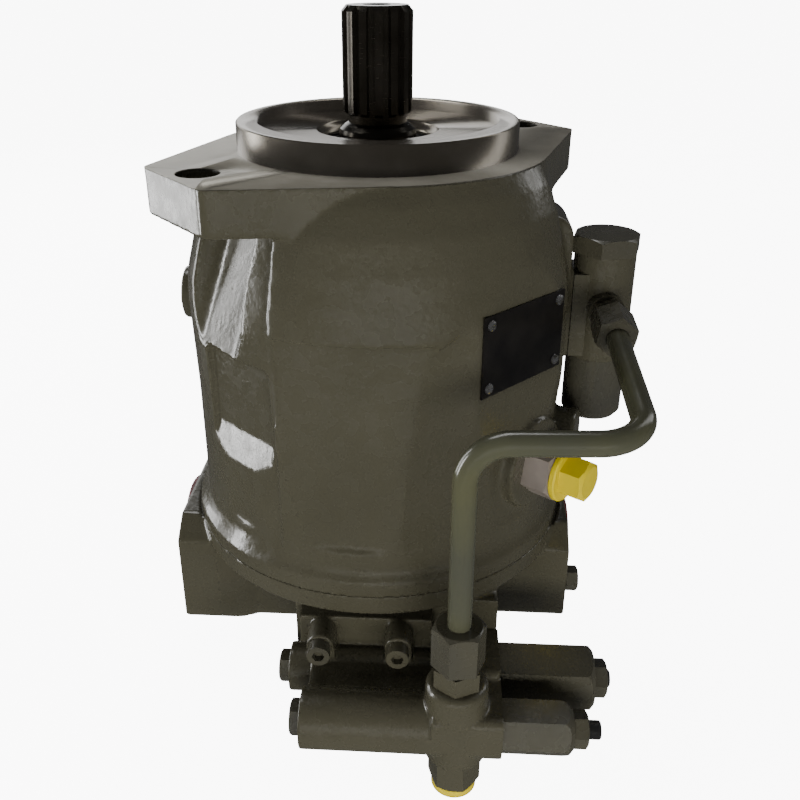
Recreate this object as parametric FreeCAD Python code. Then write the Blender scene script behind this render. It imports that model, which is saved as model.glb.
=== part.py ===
"""Variable axial piston pump: swash-plate rotary group in a cast housing, with control valves."""
import FreeCAD, Part
import math
import os

# Frame: origin at the centre of the mounting face, +Z along the shaft towards its free end,
# X through the two side ports, -Y towards the control valve. Millimetres.

# Mounting flange and pilot
PILOT_R = 63.5
PILOT_H = 12.7
PILOT_IN_R = 54.5
PILOT_FLOOR = 8.0
BOLT_SPACING = 181.0
BOLT_HOLE_R = 9.25
EAR_ANGLE = 41.0
EAR_REACH = 103.0
EAR_HALF = 25.0
FLANGE_T = 20.0
FLANGE_R = 77.0

# Shaft
SHAFT_TOP = 60.0
SPLINE_TEETH = 14
SPLINE_R = 15.6
SPLINE_ROOT = 13.5
SPLINE_END = 14.5
SEAL_R = 17.5
DRIVE_R = 16.0
TAIL_R = 12.5

# Rotary group
N_PISTONS = 9
BARREL_PCR = 38.0
MAX_TILT = math.radians(16.0)
PISTON_R = 9.5
BALL_R = 7.0
BORE_PLAY = 0.85
BARREL_R = 53.0
BARREL_L = 54.95
PLATE_T = 5.0

# Housing
SPLIT_Z = -181.0
CAVITY_R = 61.5
TILT_Z = SPLIT_Z + 80.0
RIM_R = 94.0
JOURNAL_R = 52.0
ARM_R = 66.0
STROKER_R = 7.5
RETURN_R = 8.5

# Nameplate and drain port
PLATE_AZ = -43.5
PLATE_C = 90.0
PLATE_W = 52.0
PLATE_H = 36.0
PLATE_MID_Z = -69.5
DRAIN_AZ = -36.0
DRAIN_Z = -132.0
DRAIN_FACE = 94.0
RIB_AZ = -16.0

# Recessed panels on the two sides: radius and height of each corner
SIDE_AZ = 49.0
SIDE_PANEL = [(84, -78), (84, -116), (88.6, -130), (88.6, -160), (96, -172), (130, -172), (130, -78)]

# Port plate
SUCTION_X = -99.0
PRESSURE_X = 97.0
PORT_Z = -208.0
BLOCK_HALF = 46.0
BLOCK_Z = -240.0
PRESSURE_HALF = 43.5
PRESSURE_Z = -232.0
SCREW_SEAT = -219.0
SUCTION_R = 19.0
PRESSURE_R = 12.5

# Control valve
VALVE_Y = -82.0
BORE_Z = -222.0
UP_Y = -94.0
LOW_Y = -125.0
VALVE_RIGHT = 60.5
SPOOL_R = 5.0
UP_HOUSE_END = 103.5
LOW_HOUSE_END = 91.0
PIPE_X = 41.0
TOWER_TOP = -197.4
TOWER_LOW = -236.0
X_END = -252.0
NUT_LOW = -187.8
NUT_TOP = -168.0

# Power valve
PV_X = 107.5
PV_R = 14.5
PV_FIT_Z = -72.0
PV_NUT_Y = -27.0

# Taper roller bearings: cup and cone radius, roller line and roller radius at each end, heights,
# number of rollers
FRONT_SET = (31.0, SEAL_R + 0.02, 22.1, 24.5, 2.35, 2.6, -14.1, -32.0, 18)
REAR_SET = (26.0, TAIL_R + 0.02, 16.9, 18.9, 2.1, 2.35, -196.5, -182.5, 16)

# Derived
BALL_PCR = BARREL_PCR * 2.0 / (1.0 + math.cos(MAX_TILT))
BORE_R = PISTON_R + BORE_PLAY
BARREL_BOTTOM = SPLIT_Z + PLATE_T + 0.05
BARREL_TOP = BARREL_BOTTOM + BARREL_L
FACE_Z = TILT_Z + 10.0

UP = FreeCAD.Vector(0, 0, 1)


def vec(x, y, z):
    return FreeCAD.Vector(x, y, z)


def cyl(r, z0, z1, x=0.0, y=0.0):
    return Part.makeCylinder(r, z1 - z0, vec(x, y, z0))


def rod(p, d, r, length):
    return Part.makeCylinder(r, length, vec(*p), vec(*d))


def box(x0, x1, y0, y1, z0, z1):
    return Part.makeBox(x1 - x0, y1 - y0, z1 - z0, vec(x0, y0, z0))


def ring(ro, ri, z0, z1, x=0.0, y=0.0):
    return cyl(ro, z0, z1, x, y).cut(cyl(ri, z0 - 1, z1 + 1, x, y))


def revolved(points):
    pts = [vec(r, 0, z) for r, z in points]
    wire = Part.makePolygon(pts + [pts[0]])
    return Part.Face(wire).revolve(vec(0, 0, 0), UP, 360)


def prism(points, z0, z1):
    pts = [vec(x, y, z0) for x, y in points]
    wire = Part.makePolygon(pts + [pts[0]])
    return Part.Face(wire).extrude(vec(0, 0, z1 - z0))


def aim(shape, p, d, turn=0.0):
    out = shape.copy()
    out.rotate(vec(0, 0, 0), UP, turn)
    place = FreeCAD.Placement(vec(*p), FreeCAD.Rotation(UP, vec(*d)))
    return out.transformGeometry(place.toMatrix())


def turned(shape, degrees, axis=UP, centre=None):
    out = shape.copy()
    out.rotate(centre or vec(0, 0, 0), axis, degrees)
    return out


def moved(shape, x, y, z):
    out = shape.copy()
    out.translate(vec(x, y, z))
    return out


def fuse(shapes):
    out = shapes[0].multiFuse(shapes[1:]) if len(shapes) > 1 else shapes[0]
    return out.removeSplitter()


def spread(shape, count, start=0.0):
    return [turned(shape, start + 360.0 * i / count) for i in range(count)]


def hexagon(af, z0, z1, chamfer=0.0):
    rc = af / math.sqrt(3.0)
    pts = [(rc * math.cos(k * math.pi / 3), rc * math.sin(k * math.pi / 3)) for k in range(6)]
    body = prism(pts, z0, z1)
    if chamfer > 0.0:
        lim = [(0, z0), (rc, z0), (rc, z1 - chamfer), (rc - 1.7 * chamfer, z1), (0, z1)]
        body = body.common(revolved(lim))
    return body


def socket_screw(r, length, head_r, head_l, key):
    shape = fuse([cyl(r, -length, 0), cyl(head_r, 0, head_l)])
    return shape.cut(hexagon(key, head_l * 0.45, head_l + 1))


def coil(radius, wire_r, z0, z1, turns):
    height = z1 - z0 - 2.0 * wire_r
    helix = Part.makeHelix(height / turns, height, radius)
    ring_wire = Part.Wire([Part.makeCircle(wire_r, vec(radius, 0, 0), vec(0, 1, 0))])
    spring = Part.Wire(helix.Edges).makePipeShell([ring_wire], True, True)
    spring.translate(vec(0, 0, z0 + wire_r))
    return Part.Solid(spring) if spring.ShapeType == "Shell" else spring


def corner(a, b, c, r):
    u = (a - b).normalize()
    w = (c - b).normalize()
    half = math.acos(max(-1.0, min(1.0, u.dot(w)))) / 2.0
    t = r / math.tan(half)
    start = b + u * t
    end = b + w * t
    mid_dir = (u + w).normalize()
    centre = b + mid_dir * (r / math.sin(half))
    mid = centre - mid_dir * r
    return start, mid, end


def bent_tube(points, radii, r_out, r_in):
    pts = [vec(*p) for p in points]
    edges = []
    here = pts[0]
    for k in range(1, len(pts) - 1):
        start, mid, end = corner(pts[k - 1], pts[k], pts[k + 1], radii[k - 1])
        edges.append(Part.makeLine(here, start))
        edges.append(Part.Arc(start, mid, end).toShape())
        here = end
    edges.append(Part.makeLine(here, pts[-1]))
    spine = Part.Wire(edges)
    d = pts[1] - pts[0]
    outer = Part.Wire([Part.makeCircle(r_out, pts[0], d)])
    inner = Part.Wire([Part.makeCircle(r_in, pts[0], d)])
    solid = spine.makePipeShell([outer], True, True)
    return solid.cut(spine.makePipeShell([inner], True, True))


def save(name, shape):
    shape.exportStep("parts/" + name + ".step")


def group(shapes):
    return Part.makeCompound(shapes)


# ---------------------------------------------------------------- housing

def ear_plate():
    reach = EAR_REACH
    lim = math.hypot(reach, EAR_HALF)
    ang = math.atan2(EAR_HALF, reach) + math.acos(FLANGE_R / lim)
    tx = FLANGE_R * math.cos(ang)
    ty = FLANGE_R * math.sin(ang)
    pts = [(reach, EAR_HALF), (tx, ty), (-tx, ty), (-reach, EAR_HALF)]
    pts += [(-reach, -EAR_HALF), (-tx, -ty), (tx, -ty), (reach, -EAR_HALF)]
    plate = prism(pts, -FLANGE_T, 0)
    ends = [e for e in plate.Edges if abs(abs(e.CenterOfMass.x) - reach) < 0.01
            and abs(abs(e.CenterOfMass.y) - EAR_HALF) < 0.01]
    plate = plate.makeFillet(5.0, ends)
    return fuse([turned(plate, EAR_ANGLE), cyl(FLANGE_R, -FLANGE_T, 0)])


def ear_point(side):
    a = math.radians(EAR_ANGLE)
    half = BOLT_SPACING / 2.0 * side
    return half * math.cos(a), half * math.sin(a)


def facet(azimuth, distance, z0, z1, half=60.0, lean=0.0):
    cutter = box(0, 40, -half, half, z0, z1)
    cutter = turned(cutter, lean, vec(0, 1, 0), vec(0, 0, z1))
    return turned(moved(cutter, distance, 0, 0), azimuth)


def face_cut(azimuth, distance, points):
    pts = [vec(distance, t, z) for t, z in points]
    wire = Part.makePolygon(pts + [pts[0]])
    return turned(Part.Face(wire).extrude(vec(40, 0, 0)), azimuth)


def side_cut(azimuth, half, points):
    pts = [vec(r, -half, z) for r, z in points]
    wire = Part.makePolygon(pts + [pts[0]])
    return turned(Part.Face(wire).extrude(vec(0, 2 * half, 0)), azimuth)


def bolt_pocket(azimuth):
    tool = box(66, 130, -21, 21, -82, 0)
    tool = tool.makeFillet(9, [e for e in tool.Edges if abs(e.CenterOfMass.x - 66) < 0.01
                               and abs(abs(e.CenterOfMass.y) - 21) < 0.01])
    tool = turned(tool, -21, vec(0, 1, 0), vec(66, 0, -FLANGE_T))
    return turned(tool.common(box(0, 160, -60, 60, -120, -FLANGE_T)), azimuth)


def wedge(az0, az1, z0, z1):
    steps = [az0 + (az1 - az0) * k / 4.0 for k in range(5)]
    ring_pts = [(160 * math.cos(math.radians(a)), 160 * math.sin(math.radians(a))) for a in steps]
    return prism([(0, 0)] + ring_pts, z0, z1)


def front_dome():
    shape = revolved([(0, -1), (77, -1), (81, -8), (86, -20), (89.5, -34), (92, -47), (94, -60),
                      (94, -95), (92.3, -113), (91, -150), (91, -170), (0, -170)])
    return shape.common(wedge(-115, -22, -200, 10))


def housing_outside():
    profile = [(0, -1), (77, -1), (78.3, -12), (80.7, -21), (86, -38), (89.6, -52), (90.4, -62),
               (90.4, -72), (89.2, -110), (89.2, -158), (90, -166), (92, -171.5), (94, -174),
               (94, SPLIT_Z), (0, SPLIT_Z)]
    shape = fuse([revolved(profile), front_dome()])
    shape = shape.cut(facet(PLATE_AZ, PLATE_C, -158, -30))
    shape = shape.cut(face_cut(-76.5, 90.3, [(-4, -80), (8, -64), (27, -50), (27, -160), (-4, -160)]))
    shape = shape.cut(facet(-94.5, 84.8, -160, -61, 60, -2.4))
    for turn in (0, 180):
        shape = shape.cut(bolt_pocket(EAR_ANGLE + turn))
        shape = shape.cut(side_cut(SIDE_AZ + turn, 21, SIDE_PANEL))
    return shape


def housing_bosses():
    d = drain_axis()
    drain = rod((70 * d[0], 70 * d[1], DRAIN_Z), d, 21.5, DRAIN_FACE - 70)
    a = math.radians(RIB_AZ)
    d = (math.cos(a), math.sin(a), 0)
    rib = rod((70 * d[0], 70 * d[1], -134), d, 15, 31.0)
    left = rod((-70, 2, -73), (-1, 0, 0), 13, 25.5)
    pad = box(70, 92, -13, 13, -99, -53)
    pad = pad.makeFillet(6, [e for e in pad.Edges if abs(abs(e.CenterOfMass.y) - 13) < 0.01
                             and abs(e.CenterOfMass.x - 81) < 0.01])
    hump = box(60, 90.2, -15, 15, -60, -27)
    hump = hump.makeFillet(11, [e for e in hump.Edges if abs(e.CenterOfMass.x - 90.2) < 0.01
                                and abs(e.CenterOfMass.z + 27) < 0.01])
    return [drain, rib, left, pad, hump]


def pilot():
    return revolved([(0, -1), (PILOT_R, -1), (PILOT_R, PILOT_H - 0.6), (PILOT_R - 0.6, PILOT_H),
                     (0, PILOT_H)])


def cradle_carve(radius, x_half):
    return rod((-x_half, 0, TILT_Z), (1, 0, 0), radius, 2 * x_half)


def housing_cavity():
    top = [cyl(PILOT_IN_R, PILOT_FLOOR, 20),
           revolved([(0, -9), (25, -9), (25, 4), (27.8, 7), (27.8, 9), (0, 9)]),
           cyl(26.2, 0.6, 2.1),
           cyl(21, -15, -8),
           cyl(31.02, TILT_Z, -14)]
    carve = cradle_carve(JOURNAL_R + 8.5, 49).common(box(-60, 60, -60, 60, -72, -30))
    arms = box(-11.5, 11.5, -77.5, 77.5, -127, -60)
    return top + [carve, arms, cyl(CAVITY_R, SPLIT_Z - 1, -56)]


def piston_boss(y, r):
    boss = cyl(r + 4.0, SPLIT_Z, -126, 0, y).cut(cyl(BARREL_R + 1.5, SPLIT_Z - 1, -120))
    return boss


def housing():
    shape = fuse([housing_outside(), ear_plate(), pilot()] + housing_bosses())
    for tool in housing_cavity():
        shape = shape.cut(tool)
    shape = fuse([shape, piston_boss(-ARM_R, STROKER_R), piston_boss(ARM_R, RETURN_R)])
    shape = shape.cut(cyl(STROKER_R + 0.05, SPLIT_Z + 3.5, -120, 0, -ARM_R))
    shape = shape.cut(cyl(RETURN_R + 0.05, SPLIT_Z + 3.5, -120, 0, ARM_R))
    for side in (-1, 1):
        x, y = ear_point(side)
        shape = shape.cut(cyl(BOLT_HOLE_R, -30, 1, x, y))
    d = drain_axis()
    shape = shape.cut(rod((50 * d[0], 50 * d[1], DRAIN_Z), d, 9.05, 46))
    shape = shape.cut(rod((60, 0, PV_FIT_Z - 14), (1, 0, 0), 3, 40))
    for x, y in plate_screw_points():
        shape = shape.cut(cyl(6.05, SPLIT_Z - 1, SPLIT_Z + 18, x, y))
    for x, y, z in rivet_points():
        shape = shape.cut(rod((x, y, z), plate_normal(-1), 1.3, 6))
    return shape


def plate_screw_points():
    return [(sx * 70.0, sy * 29.0) for sx in (-1, 1) for sy in (-1, 1)]


def housing_o_ring():
    return Part.makeTorus(66.2, 1.0, vec(0, 0, SPLIT_Z - 1.05))


# ---------------------------------------------------------------- nameplate


def plate_normal(sign):
    a = math.radians(PLATE_AZ)
    return (sign * math.cos(a), sign * math.sin(a), 0)


def nameplate():
    plate = box(0, 0.8, -PLATE_W / 2, PLATE_W / 2, -PLATE_H / 2, PLATE_H / 2)
    plate = moved(plate, PLATE_C + 0.02, 0, PLATE_MID_Z)
    plate = turned(plate, PLATE_AZ)
    for x, y, z in rivet_points():
        plate = plate.cut(rod((x, y, z), plate_normal(-1), 1.35, 4))
    return plate


def rivet_points():
    a = math.radians(PLATE_AZ)
    out = []
    for sy in (-1, 1):
        for sz in (-1, 1):
            t = sy * (PLATE_W / 2 - 4)
            r = PLATE_C + 1.0
            x = r * math.cos(a) - t * math.sin(a)
            y = r * math.sin(a) + t * math.cos(a)
            out.append((x, y, PLATE_MID_Z + sz * (PLATE_H / 2 - 4)))
    return out


def nameplate_rivets():
    out = []
    dome = revolved([(0, -4.5), (1.25, -4.5), (1.25, 0), (2.4, 0), (2.2, 0.7), (1.3, 1.2), (0, 1.3)])
    for p in rivet_points():
        out.append(aim(dome, p, plate_normal(1)))
    return group(out)


# ---------------------------------------------------------------- port plate

def port_plate():
    disc = revolved([(0, -191), (93, -191), (94, -190), (94, SPLIT_Z), (0, SPLIT_Z)])
    mount = box(-34, 60, VALVE_Y, -30, -246, -190)
    shape = fuse([disc, port_blocks(), mount])
    shape = shape.cut(ring(68.2, 64.2, SPLIT_Z - 2.1, SPLIT_Z + 1))
    shape = shape.cut(cyl(26.02, -198.5, SPLIT_Z + 1))
    shape = shape.cut(rod((SUCTION_X - 1, 0, PORT_Z), (1, 0, 0), SUCTION_R, 64))
    shape = shape.cut(rod((PRESSURE_X + 1, 0, PORT_Z), (-1, 0, 0), PRESSURE_R, 62))
    shape = shape.cut(kidney(180, 60, -212, SPLIT_Z + 1))
    shape = shape.cut(kidney(0, 60, -212, SPLIT_Z + 1))
    for x, y in plate_screw_points():
        shape = shape.cut(cyl(6.6, BLOCK_Z - 1, SPLIT_Z + 1, x, y))
        shape = shape.cut(cyl(10, BLOCK_Z - 1, SCREW_SEAT, x, y))
    for hole in flange_holes(SUCTION_X, 34.925, 17.855, 5.1, 18):
        shape = shape.cut(hole)
    for hole in flange_holes(PRESSURE_X, 26.19, 13.1, 4.25, 16):
        shape = shape.cut(hole)
    shape = shape.cut(rod((PRESSURE_X + 1, -38, -209), (-1, 0, 0), 4.05, 13))
    for x, z in valve_screw_points():
        shape = shape.cut(rod((x, VALVE_Y - 1, z), (0, 1, 0), 3.05, 19))
    return shape


def flange_holes(face_x, half_y, half_z, r, depth):
    inward = -1 if face_x > 0 else 1
    return [rod((face_x, sy * half_y, PORT_Z + sz * half_z), (inward, 0, 0), r, depth)
            for sy in (-1, 1) for sz in (-1, 1)]


def port_blocks():
    hy = BLOCK_HALF
    suction = [(SUCTION_X, -hy), (-80, -hy), (-62, -38), (30, -38),
               (30, 38), (-62, 38), (-80, hy), (SUCTION_X, hy)]
    hy = PRESSURE_HALF
    pressure = [(29, -40), (PRESSURE_X, -hy), (PRESSURE_X, hy), (29, 40)]
    return fuse([port_block(suction, BLOCK_HALF, BLOCK_Z), port_block(pressure, PRESSURE_HALF, PRESSURE_Z)])


def port_block(outline, hy, low):
    c = 5.0
    end = [(-hy, low + c), (-hy + c, low), (hy - c, low), (hy, low + c), (hy, SPLIT_Z - 8),
           (hy - 12, SPLIT_Z + 1.5), (-hy + 12, SPLIT_Z + 1.5), (-hy, SPLIT_Z - 8)]
    pts = [vec(-100, y, z) for y, z in end]
    wire = Part.makePolygon(pts + [pts[0]])
    envelope = Part.Face(wire).extrude(vec(200, 0, 0))
    block = prism(outline, low, SPLIT_Z + 1.5).common(envelope)
    return block.cut(cyl(RIM_R + 1.5, SPLIT_Z, SPLIT_Z + 5))


def kidney(azimuth, half_span, z0, z1, width=9.0):
    r0 = BARREL_PCR - width / 2
    r1 = BARREL_PCR + width / 2
    arc = ring(r1, r0, z0, z1)
    c = 90 * math.cos(math.radians(half_span))
    t = 90 * math.sin(math.radians(half_span))
    arc = arc.common(prism([(0, 0), (c, -t), (120, 0), (c, t)], z0, z1))
    ends = []
    for s in (-1, 1):
        a = math.radians(half_span * s)
        ends.append(cyl(width / 2, z0, z1, BARREL_PCR * math.cos(a), BARREL_PCR * math.sin(a)))
    return turned(fuse([arc] + ends), azimuth)


def port_plate_screws():
    out = []
    for x, y in plate_screw_points():
        screw = socket_screw(6.0, 54, 9.0, 11.5, 10)
        out.append(aim(screw, (x, y, SCREW_SEAT), (0, 0, -1)))
    return group(out)


def port_cover(x, d, r_plug, r_cap):
    cap = revolved([(0, 0.1), (r_cap, 0.1), (r_cap, 2.4), (r_cap - 1, 3.4), (0, 3.4)])
    plug = ring(r_plug, r_plug - 2, -9, 0.2)
    return aim(fuse([cap, plug]), (x, 0, PORT_Z), d)


def port_covers():
    return group([port_cover(SUCTION_X, (-1, 0, 0), SUCTION_R - 0.1, 25.5),
                  port_cover(PRESSURE_X, (1, 0, 0), PRESSURE_R - 0.1, 20.5)])


# ---------------------------------------------------------------- seal and bearings

def shaft_seal():
    return revolved([(24.95, -8.6), (24.95, -0.6), (17.7, -0.6), (17.7, -3.0), (22.0, -3.0),
                     (22.0, -8.6)])


def seal_circlip():
    clip = ring(26.1, 22.6, 0.7, 2.0)
    lugs = [cyl(3.0, 0.7, 2.0, 21.9 * math.cos(a), 21.9 * math.sin(a))
            for a in (math.radians(-104), math.radians(-76))]
    clip = fuse([clip] + lugs)
    clip = clip.cut(box(-3.6, 3.6, -40, 0, -5, 5))
    for a in (math.radians(-104), math.radians(-76)):
        clip = clip.cut(cyl(1.2, 0, 3, 21.9 * math.cos(a), 21.9 * math.sin(a)))
    return clip


def taper_set(spec):
    out_r, in_r, a_small, a_big, q_small, q_big, z_small, z_big, count = spec
    tilt = math.atan2(a_big - a_small, abs(z_big - z_small))
    play = 0.05
    up_s = a_small + q_small / math.cos(tilt) + play
    up_b = a_big + q_big / math.cos(tilt) + play
    lo_s = a_small - q_small / math.cos(tilt) - play
    lo_b = a_big - q_big / math.cos(tilt) - play
    s = 1 if z_big > z_small else -1
    cup = revolved([(out_r, z_small), (out_r, z_big), (up_b, z_big), (up_s, z_small)])
    rib = lo_b + q_big * 0.7
    lo_e = lo_b - (lo_b - lo_s) * 2.2 / abs(z_big - z_small)
    cone = revolved([(in_r, z_small), (lo_s, z_small), (lo_e, z_big - 2.2 * s), (rib, z_big - 2.0 * s),
                     (rib, z_big), (in_r, z_big)])
    length = math.hypot(a_big - a_small, z_big - z_small) * 0.66
    d = vec(a_big - a_small, 0, z_big - z_small).normalize()
    start = vec(a_small, 0, z_small) + d * 1.6
    roller = Part.makeCone(q_small, q_small + (q_big - q_small) * 0.8, length, start, d)
    rollers = spread(roller, count)
    shell = revolved([(a_small - 0.5, z_small + 1.2 * s), (a_small + 0.5, z_small + 1.2 * s),
                      (a_big + 0.5, z_big - 1.4 * s), (a_big - 0.5, z_big - 1.4 * s)])
    for item in spread(Part.makeCone(q_small + 0.3, q_big + 0.2, length + 0.6, start - d * 0.3, d), count):
        shell = shell.cut(item)
    return cup, cone, rollers + [shell]


def bearing_cups():
    return group([taper_set(FRONT_SET)[0], taper_set(REAR_SET)[0]])


def bearing_cones():
    return group([taper_set(FRONT_SET)[1], taper_set(REAR_SET)[1]])


def bearing_rollers():
    return group(taper_set(FRONT_SET)[2] + taper_set(REAR_SET)[2])


# ---------------------------------------------------------------- shaft and barrel

def drive_shaft():
    body = revolved([(0, -197.5), (11.5, -197.5), (TAIL_R, -196.5), (TAIL_R, -178), (DRIVE_R, -176),
                     (DRIVE_R, -90), (17, -90), (17, -40), (20.5, -38), (20.5, -32.2), (SEAL_R, -32.2),
                     (SEAL_R, 6.4), (17, 8.2), (15, 10), (13.2, 11.2), (13.2, SPLINE_END),
                     (SPLINE_R, SPLINE_END + 1.5), (SPLINE_R, SHAFT_TOP - 2.4),
                     (SPLINE_ROOT, SHAFT_TOP), (0, SHAFT_TOP)])
    w0 = 1.25
    w1 = 2.35
    gap = prism([(SPLINE_ROOT, -w0), (17.5, -w1), (17.5, w1), (SPLINE_ROOT, w0)], SPLINE_END - 2, 61)
    for item in spread(gap, SPLINE_TEETH, 6.0):
        body = body.cut(item)
    body = body.cut(cyl(4.25, 38, 61))
    return body.cut(revolved([(0, 57), (4, 57), (7, 61), (0, 61)]))


def cylinder_barrel():
    body = revolved([(DRIVE_R + 0.03, BARREL_BOTTOM + 35.5), (23.5, BARREL_BOTTOM + 35.5),
                     (23.5, BARREL_BOTTOM), (BARREL_R - 1, BARREL_BOTTOM), (BARREL_R, BARREL_BOTTOM + 1),
                     (BARREL_R, BARREL_TOP - 2), (BARREL_R - 2, BARREL_TOP), (24, BARREL_TOP),
                     (24, BARREL_TOP + 8.5), (DRIVE_R + 0.03, BARREL_TOP + 8.5)])
    bore = cyl(BORE_R, BARREL_BOTTOM + 9.0, BARREL_TOP + 1, 0, BARREL_PCR)
    slot = kidney(90, 9.5, BARREL_BOTTOM - 1, BARREL_BOTTOM + 10, 8.0)
    for tool in spread(fuse([bore, slot]), N_PISTONS):
        body = body.cut(tool)
    for pin in spread(cyl(2.1, BARREL_BOTTOM + 30, BARREL_TOP + 20, 20, 0), 3):
        body = body.cut(pin)
    return body.cut(ring(25, 22, BARREL_BOTTOM + 5, BARREL_BOTTOM + 6.6))


def retainer_ball():
    ball = Part.makeSphere(23.9, vec(0, 0, TILT_Z))
    ball = ball.common(cyl(30, TILT_Z - 8, TILT_Z + 8))
    return ball.cut(cyl(DRIVE_R + 0.03, TILT_Z - 20, TILT_Z + 20))


def pressure_pins():
    pin = cyl(2.0, BARREL_BOTTOM + 34.2, TILT_Z - 8.02, 20, 0)
    return group(spread(pin, 3))


def barrel_spring():
    top = BARREL_BOTTOM + 34.1
    low = BARREL_BOTTOM + 6.7
    washer_top = ring(23.3, 16.3, top - 2, top)
    washer_low = ring(23.3, 16.3, low, low + 2)
    clip = ring(24.9, 20.5, low - 1.5, low - 0.1).cut(box(-3, 3, 0, 40, low - 5, low + 5))
    return group([washer_top, washer_low, clip, coil(19.9, 1.7, low + 2.05, top - 2.05, 4)])


def distributor_plate():
    plate = ring(50, 27, SPLIT_Z + 0.02, SPLIT_Z + PLATE_T)
    plate = plate.cut(kidney(180, 66, SPLIT_Z - 1, SPLIT_Z + 8))
    for a in (-46, 0, 46):
        plate = plate.cut(kidney(a, 17, SPLIT_Z - 1, SPLIT_Z + 8))
    return plate


def piston():
    end = -51.0
    body = revolved([(0, -6), (4.2, -6), (4.2, -8.5), (PISTON_R - 1, -10), (PISTON_R, -11),
                     (PISTON_R, end + 1), (PISTON_R - 1, end), (6, end), (6, -20), (4, -16),
                     (0, -16)])
    neck = cyl(4.2, -8, -3)
    return fuse([body, neck, Part.makeSphere(BALL_R)])


def slipper():
    body = revolved([(0, 9.97), (7.5, 9.97), (7.5, 9.3), (9.2, 9.3), (9.2, 9.97), (11, 9.97), (11, 6.6),
                     (8.5, 6.6), (8.5, -2.8), (7.8, -3.5), (0, -3.5)])
    body = body.cut(Part.makeSphere(BALL_R + 0.05))
    return body.cut(cyl(0.9, 0, 12))


def ball_points():
    out = []
    for i in range(N_PISTONS):
        a = math.radians(90 + 360.0 * i / N_PISTONS)
        out.append((BALL_PCR * math.cos(a), BALL_PCR * math.sin(a), TILT_Z))
    return out


def retainer_plate():
    plate = cyl(49.5, TILT_Z + 2.5, TILT_Z + 6.4).cut(Part.makeSphere(24.05, vec(0, 0, TILT_Z)))
    for x, y, z in ball_points():
        plate = plate.cut(cyl(9.6, z, z + 10, x, y))
    return plate


# ---------------------------------------------------------------- swash plate and cradle

def swash_plate():
    disc = cyl(54, FACE_Z, FACE_Z + 12)
    hole = cyl(25, FACE_Z - 1, FACE_Z + 13)
    top = box(-60, 60, -25, 25, FACE_Z + 1, TILT_Z + 60)
    journals = cradle_carve(JOURNAL_R, 48).cut(cradle_carve(JOURNAL_R + 1, 33)).common(top)
    shape = fuse([disc, journals])
    for s in (-1, 1):
        y0, y1 = sorted((s * 50.0, s * 74.5))
        shape = fuse([shape, box(-9, 9, y0, y1, FACE_Z + 0.5, FACE_Z + 9)])
        y0, y1 = sorted((s * 57.5, s * 74.5))
        shape = fuse([shape, box(-9, 9, y0, y1, TILT_Z, FACE_Z + 5)])
    return shape.cut(hole)


def cradle_shells():
    out = []
    for s in (-1, 1):
        x0, x1 = sorted((s * 33.0, s * 48.8))
        outer = rod((x0, 0, TILT_Z), (1, 0, 0), JOURNAL_R + 8.4, x1 - x0)
        inner = rod((x0 - 1, 0, TILT_Z), (1, 0, 0), JOURNAL_R + 5.5, x1 - x0 + 2)
        shell = outer.cut(inner).common(box(-60, 60, -33, 33, TILT_Z + 20, TILT_Z + 70))
        out.append(shell)
    return group(out)


def cradle_rollers():
    out = []
    centre_r = JOURNAL_R + 2.75
    for s in (-1, 1):
        x0, x1 = sorted((s * 35.5, s * 46.5))
        roller = rod((x0, 0, TILT_Z + centre_r), (1, 0, 0), 2.5, x1 - x0)
        for k in range(7):
            out.append(turned(roller, (k - 3) * 7.0, vec(1, 0, 0), vec(0, 0, TILT_Z)))
        for xa, xb in ((33.6, 35.2), (46.8, 48.2)):
            xa, xb = sorted((s * xa, s * xb))
            rail = rod((xa, 0, TILT_Z), (1, 0, 0), centre_r + 1.2, xb - xa)
            rail = rail.cut(rod((xa - 1, 0, TILT_Z), (1, 0, 0), centre_r - 1.2, xb - xa + 2))
            out.append(rail.common(box(-60, 60, -25.5, 25.5, TILT_Z + 20, TILT_Z + 70)))
    return group(out)


def stroking_piston():
    top = TILT_Z - 0.1
    body = cyl(STROKER_R, top - 55, top - 4, 0, -ARM_R)
    dome = Part.makeSphere(STROKER_R + 3, vec(0, -ARM_R, top - STROKER_R - 3))
    dome = dome.common(cyl(STROKER_R, top - 5, top + 1, 0, -ARM_R))
    return fuse([body, dome])


def return_piston():
    top = TILT_Z - 0.1
    body = cyl(RETURN_R, top - 70, top - 4, 0, ARM_R)
    dome = Part.makeSphere(RETURN_R + 3, vec(0, ARM_R, top - RETURN_R - 3))
    dome = dome.common(cyl(RETURN_R, top - 5, top + 1, 0, ARM_R))
    return fuse([body, dome]).cut(cyl(RETURN_R - 2, top - 71, top - 8, 0, ARM_R))


def return_spring():
    low = SPLIT_Z + 3.6
    return moved(coil(5.0, 1.1, low, TILT_Z - 8.4, 11), 0, ARM_R, 0)


# ---------------------------------------------------------------- control valve

def valve_screw_points():
    return [(-20.0, -202.0), (15.0, -202.0), (-20.0, -239.5), (15.0, -239.5)]


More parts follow.
